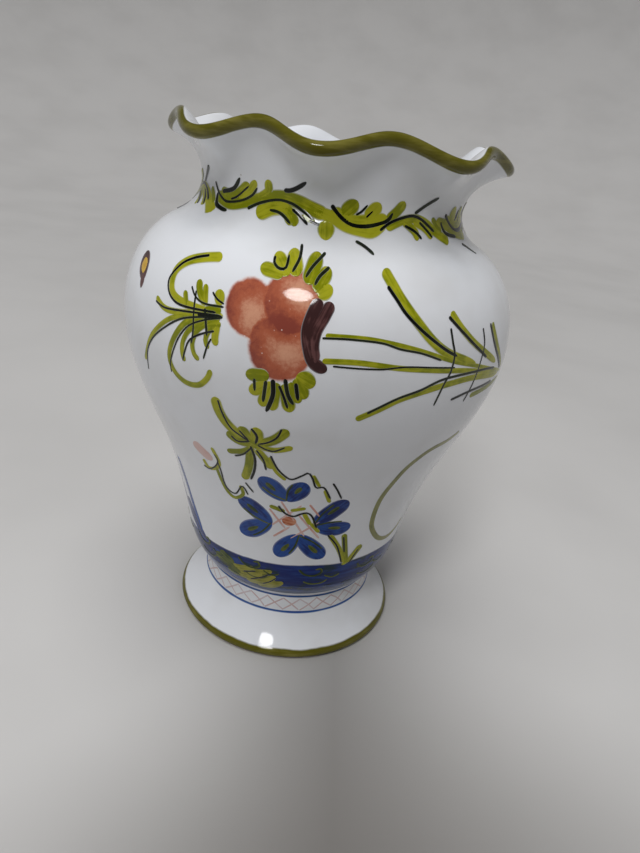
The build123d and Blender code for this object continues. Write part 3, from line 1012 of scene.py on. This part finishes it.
def blue_petal(width, outer, middle, inner):
    """One dab of blue with two green ones wet on top: a short one in the middle, a fine one by the edge."""
    stroke("blue", width, outer, middle, inner, head=1.5, tail=2.3)
    span = [[a + (b - a) * share for a, b in zip(outer, inner)] for share in (0.28, 0.62)]
    bow = [(m - (a + b) / 2) * 0.6 for m, a, b in zip(middle, outer, inner)]
    stroke("moss", width * 0.26, *[(x + bow[0], z + bow[1]) for x, z in span], head=1.6, tail=3)
    reach = width * 0.33
    far = math.dist(inner, outer)
    edge = (reach * (inner[1] - outer[1]) / far, reach * (outer[0] - inner[0]) / far)
    stroke("moss", 1.0, (span[0][0] + edge[0], span[0][1] + edge[1]),
           (span[1][0] + edge[0] * 0.8, span[1][1] + edge[1] * 0.8), inner, tail=6)


def blue_flower():
    for petal in BLUE_PETALS:
        blue_petal(*petal)
    stroke("red", 6.2, (-4.8, 87.5), (1.6, 86.5), tail=1)
    many("rose", (1.1, (-11, 93), (-3, 82)), (1.1, (2, 92), (13, 77)), (1.1, (6.5, 99), (12, 91)),
         (1.2, (-8, 75.5), (-1, 83.5)), (1.1, (-6, 99), (6, 78)), (1.1, (-9, 83), (3, 98)),
         (1.1, (0, 76), (12, 88)), tail=3)
    many("leaf", (2.2, (-11, 95), (-4, 93)), (1.8, (-1.5, 94), (5, 96.5)), (2.0, (4.5, 93), (8, 86)),
         (1.8, (8, 87), (12.5, 81)))
    many("liner", (1.0, (-7, 96), (-4, 92), (0, 90.5), (3, 92.5), (6, 93.5), (8.5, 91), (11, 84)),
         (0.9, (15, 113.5), (17.5, 109), (20, 103.5)))


def grass():
    many("leaf", (2.2, (18, 79), (23.5, 69.5), (28, 59)), (2.2, (25, 79), (27.5, 66), (29, 58.5)),
         (2.8, (36, 69), (30, 58.5)), (1.6, (33, 61), (27, 57.5)), press=SPRIG_PRESS)
    many("liner", (0.9, (17, 79), (22.5, 71), (26.5, 59)), (0.9, (25, 77), (27, 66)),
         (0.9, (34.8, 66.5), (31, 58)))


on_both_sides(blue_flower, grass)

# %% Side curls, and the leafy patch in the blue band
def side_curls():
    stroke("olive", 3.0, (80, 133), (71.5, 130.5), (60, 128), (50.5, 121), (45, 112), (40, 99.5),
           (39, 85.5), (41, 77.5), (47, 69.5), (54.5, 66.5), (62.5, 68.5), (67, 74), tail=3)
    many("blue", (4.0, (-69, 98), (-60.5, 75), (-49.5, 55.5)), (5.0, (-66, 71), (-56, 61), (-46, 54)),
         (3.6, (-86, 92), (-73, 73), (-53, 55)), tail=5)


def band_leaves():
    many("moss", (5.4, (-39, 50.5), (-30, 47), (-23, 44)), (4.4, (-36, 53.5), (-27, 49.5)),
         (4.4, (-31, 43.5), (-23, 41.5)), tail=2)
    many("fern", (5.6, (-29, 46), (-22, 48), (-16, 51.5)), (6.2, (-25, 43), (-18, 45), (-11, 50)),
         (6.6, (-20, 41.5), (-12, 43), (-5, 48.5)), (6.2, (-14, 40), (-7, 41.5), (-1, 45)),
         (4.6, (-18, 48), (-12, 49.5), (-7, 52)), tail=3)
    many("liner", (0.9, (-21.5, 46.5), (-15, 49.5)), (0.9, (-17.5, 42), (-12, 46), (-8.5, 49.5)),
         (0.8, (-11, 41), (-7.5, 44), (-4.5, 48)))


def scrolls():
    many("moss", (1.3, (0, 55.5), (3, 52.3), (7.5, 51.3), (11, 53.5), (10.5, 56), (8, 55.5)),
         (1.1, (13, 51.5), (17, 49.5), (21, 51)), (1.0, (3, 47), (7, 45), (12, 45.5), (15, 48)), tail=4)


on_both_sides(side_curls, band_leaves)
SCROLLS = 12
for count in range(SCROLLS):
    painted_at(count * 2 * math.pi / SCROLLS + 0.1, scrolls)
print("scrolls round the band", SCROLLS)

# %% [markdown]
# ## The garland round the neck
# Two leafy waves, one bending down and one bending up, are repeated all round the neck. The two in front
# come first, and five more, rising and falling by turns, carry the same rhythm round the back.
# %% One garland wave of each kind
GARLAND_PRESS = 1.15


def falling_wave():
    many("leaf", (3.6, (-53, 218), (-43.5, 216), (-35.5, 217.5), (-27.5, 220), (-21, 222)),
         (3.3, (-50, 219.5), (-40.5, 219.5), (-34, 224.5)), (2.8, (-38.5, 218.5), (-33, 222.5), (-31, 226)),
         (2.8, (-29.5, 219.5), (-25, 223), (-26, 227)),
         (4.2, (-28.5, 219.5), (-20, 221.5), (-13, 221), (-8, 219.5), (-1, 217.5)),
         (4.9, (-29, 214), (-23, 217.5), (-16, 219)), (3.3, (-19, 219), (-14.5, 216), (-12.5, 212.5)),
         (3.6, (-21.5, 219), (-16, 216.5), (-14.5, 212.5)), (1.6, (-11, 216), (-5.5, 215)),
         (5.2, (-1.3, 216), (-0.5, 209.5)), press=GARLAND_PRESS)
    many("liner",
         (1.1, (-55, 222.5), (-52, 219), (-47, 216.5), (-42.5, 216.5), (-36.5, 218), (-32, 220.5),
          (-30, 223.5)), (1.8, (-49, 219.5), (-42, 221.5), (-38.5, 226)),
         (0.9, (-43, 217.5), (-39.5, 219), (-34, 223.5)),
         (1.2, (-33.5, 215.5), (-27.5, 218.5), (-20.5, 220.5), (-15, 220), (-10.5, 218), (-6, 215.5)),
         (1.2, (-23.5, 216.5), (-19, 216), (-14.5, 213)), (1.2, (-14.5, 218), (-11, 216), (-8, 213.5)),
         (0.8, (-7.5, 215), (-3.5, 214)), (1.7, (-18.5, 224.3), (-16, 224.5), (-13, 226), (-10, 228.3)))


def rising_wave():
    many("leaf", (3.5, (-6.5, 218.5), (0, 217.5), (6, 215), (12, 214), (17, 214), (21.5, 218)),
         (4.5, (0, 219.5), (7.5, 216.5), (14.5, 217), (22.5, 218.5)), (4.7, (4.5, 218.5), (9.5, 224)),
         (4.3, (13.5, 218), (18.5, 224)), (3.2, (22, 218), (26, 222), (28.5, 225.5)),
         (2.8, (22, 215.5), (28.5, 218.5), (34.5, 219.5), (40.5, 218), (48, 214.5), (56, 211.5)),
         (2.5, (29, 218.5), (35, 215), (37, 212)), (2.5, (34, 218.5), (40, 216.5), (45, 213)),
         (1.8, (44, 220), (51, 214.5)), press=GARLAND_PRESS)
    many("liner",
         (1.6, (0, 221.5), (3.5, 218), (8.5, 215.5), (14, 215.5), (19.5, 217), (22.5, 218.5), (24, 221)),
         (0.9, (9.5, 219), (11.5, 220.5), (13.5, 223)), (0.9, (13.5, 218.5), (15.8, 221)),
         (1.2, (19.5, 214.5), (23.5, 217.5), (28.5, 219.5), (33, 220.5), (37.5, 219.5), (42.5, 217),
          (46, 215)), (1.1, (30, 216.8), (35, 215), (39, 212.5)),
         (1.1, (37, 218.3), (41.5, 215.5), (45, 213)), (1.3, (50, 218.5), (54, 214.5), (63, 213)),
         (1.4, (34, 221.5), (39, 225), (44.5, 228)), (1.0, (10.5, 210.3), (14, 209), (18, 206.8)))


painted_at(0.0, falling_wave, rising_wave)
REST_START, REST_END = math.radians(78), math.radians(286)
REST_WAVES = 5
WAVE_MIDDLE = math.radians(26)
for count in range(REST_WAVES):
    around = REST_START + (REST_END - REST_START) * count / (REST_WAVES - 1)
    if count % 2:
        painted_at(around + WAVE_MIDDLE, falling_wave)
    else:
        painted_at(around - WAVE_MIDDLE, rising_wave)
print("waves round the neck", REST_WAVES + 2)

# %% The trellis round the waist
CROSSES = 34
STEP_ROUND = 2 * math.pi * WAIST / CROSSES
TRELLIS_LOW, TRELLIS_HIGH = 20.7, 28.2
for count in range(CROSSES):
    painted_at(count * 2 * math.pi / CROSSES)
    sway = 0.7 * math.sin(count * 2.4)
    rising = ((sway, TRELLIS_LOW), (STEP_ROUND * 0.55, 24.5 - sway), (STEP_ROUND * 1.05, TRELLIS_HIGH))
    falling = ((0, TRELLIS_HIGH - sway / 2), (STEP_ROUND * 0.5, 24.8), (STEP_ROUND - sway, 20.9))
    many("blush", (0.85, *rising), (0.75, *falling), tail=3)
print("strokes in all", sum(len(kept) for kept in strokes.values()))

# %% [markdown]
# ## Paint
# A loaded brush leaves more colour where it is pressed and at the edges of a stroke, and streaks along its
# way. The shared group mixes a full and a thin colour by those rules from the numbers that the brush tree
# left on each point, and lets the very edge sink into the white ground.
# %% The group for brushed colour
def build_brushed():
    tree, given, result = new_tree("brushed colour", "ShaderNodeTree", [
        ("Full", "Color", (0, 0, 0, 1)), ("Thin", "Color", (0, 0, 0, 1)),
        ("Ground", "Color", (0.8, 0.8, 0.8, 1)), ("Streaks", "Float", 1.0),
        ("Edge", "Float", 0.5), ("Wash", "Float", 0.0)], [("Color", "Color")])
    way = add(tree, "ShaderNodeAttribute", attribute_name="brushed").outputs["Vector"]
    streak = noise(tree, vector_of(tree, "MULTIPLY", way, (90.0, 900.0, 1.0)), 1.0, 3.0, 0.6)
    patch = noise(tree, here(tree), 210.0, 2.0)
    tone = minus(tree, attribute(tree, "tone"), 0.5)
    mix = times_plus(tree, tone, 0.5, times_plus(tree, patch, 0.9, 0.05))
    mix = times_plus(tree, minus(tree, streak, 0.5), given["Streaks"], mix)
    mix = times_plus(tree, ramp(tree, attribute(tree, "share"), 0.55, 1.0), 0.15, mix)
    color = blend(tree, ramp(tree, mix, 0.3, 0.8), given["Full"], given["Thin"])
    color = blend(tree, given["Wash"], color, given["Ground"])
    across = math_of(tree, "ABSOLUTE", attribute(tree, "across"))
    rim = times(tree, ramp(tree, across, 0.80, 1.0), given["Edge"])
    tree.links.new(blend(tree, rim, color, given["Ground"]), result["Color"])
    return tree


BRUSHED = build_brushed()
print("brushed colour group has", len(BRUSHED.nodes), "nodes")

# %% The paints, from thin leaf green to near-black liner
LEAF, LEAF_THIN = (0.21, 0.235, 0.003), (0.40, 0.40, 0.018)
LINER, LINER_THIN = (0.004, 0.005, 0.004), (0.016, 0.022, 0.010)
PLUM, PLUM_THIN = (0.048, 0.020, 0.020), (0.130, 0.058, 0.056)
ROSE, ROSE_THIN = (0.60, 0.23, 0.16), (0.70, 0.45, 0.40)
BLUSH, BLUSH_THIN = (0.55, 0.33, 0.31), (0.62, 0.50, 0.52)
MOSS, MOSS_THIN = (0.028, 0.048, 0.012), (0.115, 0.140, 0.020)
FERN, FERN_THIN = (0.15, 0.155, 0.012), (0.33, 0.31, 0.04)
OCHRE, OCHRE_THIN = (0.52, 0.27, 0.015), (0.70, 0.45, 0.06)
CURL, CURL_THIN = (0.13, 0.135, 0.025), (0.27, 0.27, 0.08)
PAINTS = {"leaf": (LEAF, LEAF_THIN, 1.1, 0.5, 0.0), "liner": (LINER, LINER_THIN, 0.5, 0.35, 0.0),
          "plum": (PLUM, PLUM_THIN, 1.6, 0.3, 0.0), "blue": (BLUE, BLUE_THIN, 1.3, 0.25, 0.0),
          "rose": (ROSE, ROSE_THIN, 1.0, 0.6, 0.15), "blush": (BLUSH, BLUSH_THIN, 1.0, 0.6, 0.25),
          "moss": (MOSS, MOSS_THIN, 1.8, 0.0, 0.0), "fern": (FERN, FERN_THIN, 1.8, 0.0, 0.0),
          "red": (RED, RED_PALE, 1.2, 0.5, 0.0), "ochre": (OCHRE, OCHRE_THIN, 1.0, 0.3, 0.0),
          "olive": (CURL, CURL_THIN, 1.0, 0.4, 0.0)}
PAINT_GLOSS = GLOSS + 0.02


def paint_material(name, full, thin, streaks, edge, wash):
    material, tree, ground, shader = glossy(name + " paint", PAINT_GLOSS)
    color = group(tree, BRUSHED, Full=(*full, 1), Thin=(*thin, 1), Ground=ground["Color"], Streaks=streaks,
                  Edge=edge, Wash=wash)["Color"]
    finish(tree, shader, color)
    return material


print("paints to mix", len(PAINTS))

# %% Brush every stroke on
STACK = 0.0000006


def brushed_on(paint, kept):
    spots, edges, numbers = [], [], {label: [] for label in ("half", "head", "tail", "turn", "tone", "layer")}
    for order, (half, head, tail, turn, tone, way) in enumerate(kept):
        first = len(spots)
        spots += [(x * MM, z * MM, 0) for x, z in way]
        edges += [(first + k, first + k + 1) for k in range(len(way) - 1)]
        layer = LAYERS[paint] * MM + order * STACK
        for label, value in zip(numbers, (half * MM, head, tail, turn, tone, layer)):
            numbers[label] += [value] * len(way)
    seed = points_object(paint, spots, edges, **numbers)
    material = paint_material(paint, *PAINTS[paint])
    settings = {"Tip": tip, "Wall": wall, "Ring": ring, "Spacing": SPACING, "Thickness": THICKNESS,
                "Paint": material}
    return grown(paint + "_brushwork", seed, BRUSH, settings, BRUSH_CREASE)


for paint, kept in strokes.items():
    piece = brushed_on(paint, kept)
    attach(piece, BODY)
for helper in (ring, tip, wall):
    bpy.data.objects.remove(helper)

# %% [markdown]
# ## The studio
# A pale floor sweeps up all round, so that there is no horizon from any side. Its colour is painted darker in
# front, a painted shadow as if someone stood there and kept the light off it, and that gives the glaze its
# modelling. Soft daylight comes
# from above and a dim sky from all round. One oval lamp to the front left gives the glaze its few hard
# highlights. Glaze is judged by such a highlight: without one it looks like matt paint.
# %% The floor
FLOOR_FLAT, FLOOR_RISE, FLOOR_END, FLOOR_SIDES = 1.6, 2.4, 1.5, 96
# The last of these colours is a painted shadow, and the SHADE numbers give its place and softness on the
# floor.
FLOOR_PALE, FLOOR_GREY, FLOOR_PAINTED_SHADOW = (0.62, 0.61, 0.60), (0.57, 0.56, 0.55), (0.17, 0.16, 0.15)
SHADE_ASIDE, SHADE_LEFT, SHADE_RIGHT, SHADE_REACH, SHADE_SOFT = 0.03, -0.9, 0.4, 0.1, 0.7


def floor_mesh():
    sweep = np.linspace(0, FLOOR_END, 16)
    line = [(0.4, 0.0), (0.9, 0.0)]
    line += [(FLOOR_FLAT + FLOOR_RISE * math.sin(a), FLOOR_RISE * (1 - math.cos(a))) for a in sweep]
    turns = np.linspace(0, 2 * math.pi, FLOOR_SIDES + 1)[:-1]
    places = [(r * math.cos(t), r * math.sin(t), z) for r, z in line for t in turns]
    faces = [tuple(range(FLOOR_SIDES))]
    for low in range(0, (len(line) - 1) * FLOOR_SIDES, FLOOR_SIDES):
        for side in range(FLOOR_SIDES):
            near = (side + 1) % FLOOR_SIDES
            faces.append((low + FLOOR_SIDES + side, low + FLOOR_SIDES + near, low + near, low + side))
    mesh = bpy.data.meshes.new("floor")
    mesh.from_pydata(places, [], faces)
    mesh.shade_smooth()
    return mesh


def floor_material():
    material = bpy.data.materials.new("pale floor")
    material.use_nodes = True
    tree = material.node_tree
    shader = tree.nodes["Principled BSDF"]
    shader.inputs["Roughness"].default_value = 0.75
    cloud = noise(tree, here(tree), 5.0, 3.0)
    color = blend(tree, ramp(tree, cloud, 0.3, 0.8), FLOOR_PALE, FLOOR_GREY)
    # Painted shadow: the floor colour turns dark in a soft wedge in front of the pot, standing in for the
    # shade of someone there, which also takes bounce light off the pot.
    x, y, _ = split(tree, here(tree))
    aside = minus(tree, x, SHADE_ASIDE)
    spread = math_of(tree, "MAXIMUM", times(tree, aside, SHADE_LEFT), times(tree, aside, SHADE_RIGHT))
    reach = plus(tree, vector_of(tree, "LENGTH", here(tree), output="Value"), SHADE_REACH)
    painted_shadow = ramp(tree, over(tree, plus(tree, y, spread), reach), -SHADE_SOFT, 0.0)
    finish(tree, shader, blend(tree, painted_shadow, FLOOR_PAINTED_SHADOW, color))
    return material


floor = bpy.data.objects.new("floor", floor_mesh())
floor.data.materials.append(floor_material())
bpy.context.scene.collection.objects.link(floor)
print("floor reaches", round(FLOOR_FLAT + FLOOR_RISE * math.sin(FLOOR_END), 2), "metres out")

# %% Lamps and sky
POT_MIDDLE = Vector((0, 0, 0.15))
SKY, SKY_STRENGTH = (0.90, 0.93, 1.0, 1), 0.05


def hung(light, azimuth, elevation, distance=0.0):
    """Hangs a light so that it faces the pot. Azimuth 0 is the front and grows towards the right."""
    turn, rise = math.radians(azimuth), math.radians(elevation)
    way = Vector((math.sin(turn) * math.cos(rise), -math.cos(turn) * math.cos(rise), math.sin(rise)))
    made = bpy.data.objects.new(light.name, light)
    spot = Matrix.Translation(POT_MIDDLE + way * distance)
    made.matrix_world = spot @ way.to_track_quat("Z", "Y").to_matrix().to_4x4()
    bpy.context.scene.collection.objects.link(made)
    return made


lamp = bpy.data.lights.new("window", "AREA")
lamp.shape = "ELLIPSE"
lamp.size, lamp.size_y, lamp.energy = 0.36, 0.33, 7.5
hung(lamp, azimuth=-15, elevation=47, distance=1.5)
daylight = bpy.data.lights.new("daylight", "SUN")
daylight.energy, daylight.angle = 1.72, math.radians(45)
hung(daylight, azimuth=-40, elevation=82).visible_glossy = False
sky = bpy.data.worlds.new("sky")
sky.use_nodes = True
sky.node_tree.nodes["Background"].inputs["Color"].default_value = SKY
sky.node_tree.nodes["Background"].inputs["Strength"].default_value = SKY_STRENGTH
bpy.context.scene.world = sky
bpy.context.scene.view_settings.view_transform = "Standard"
print("lamps", [light.name for light in bpy.data.lights])
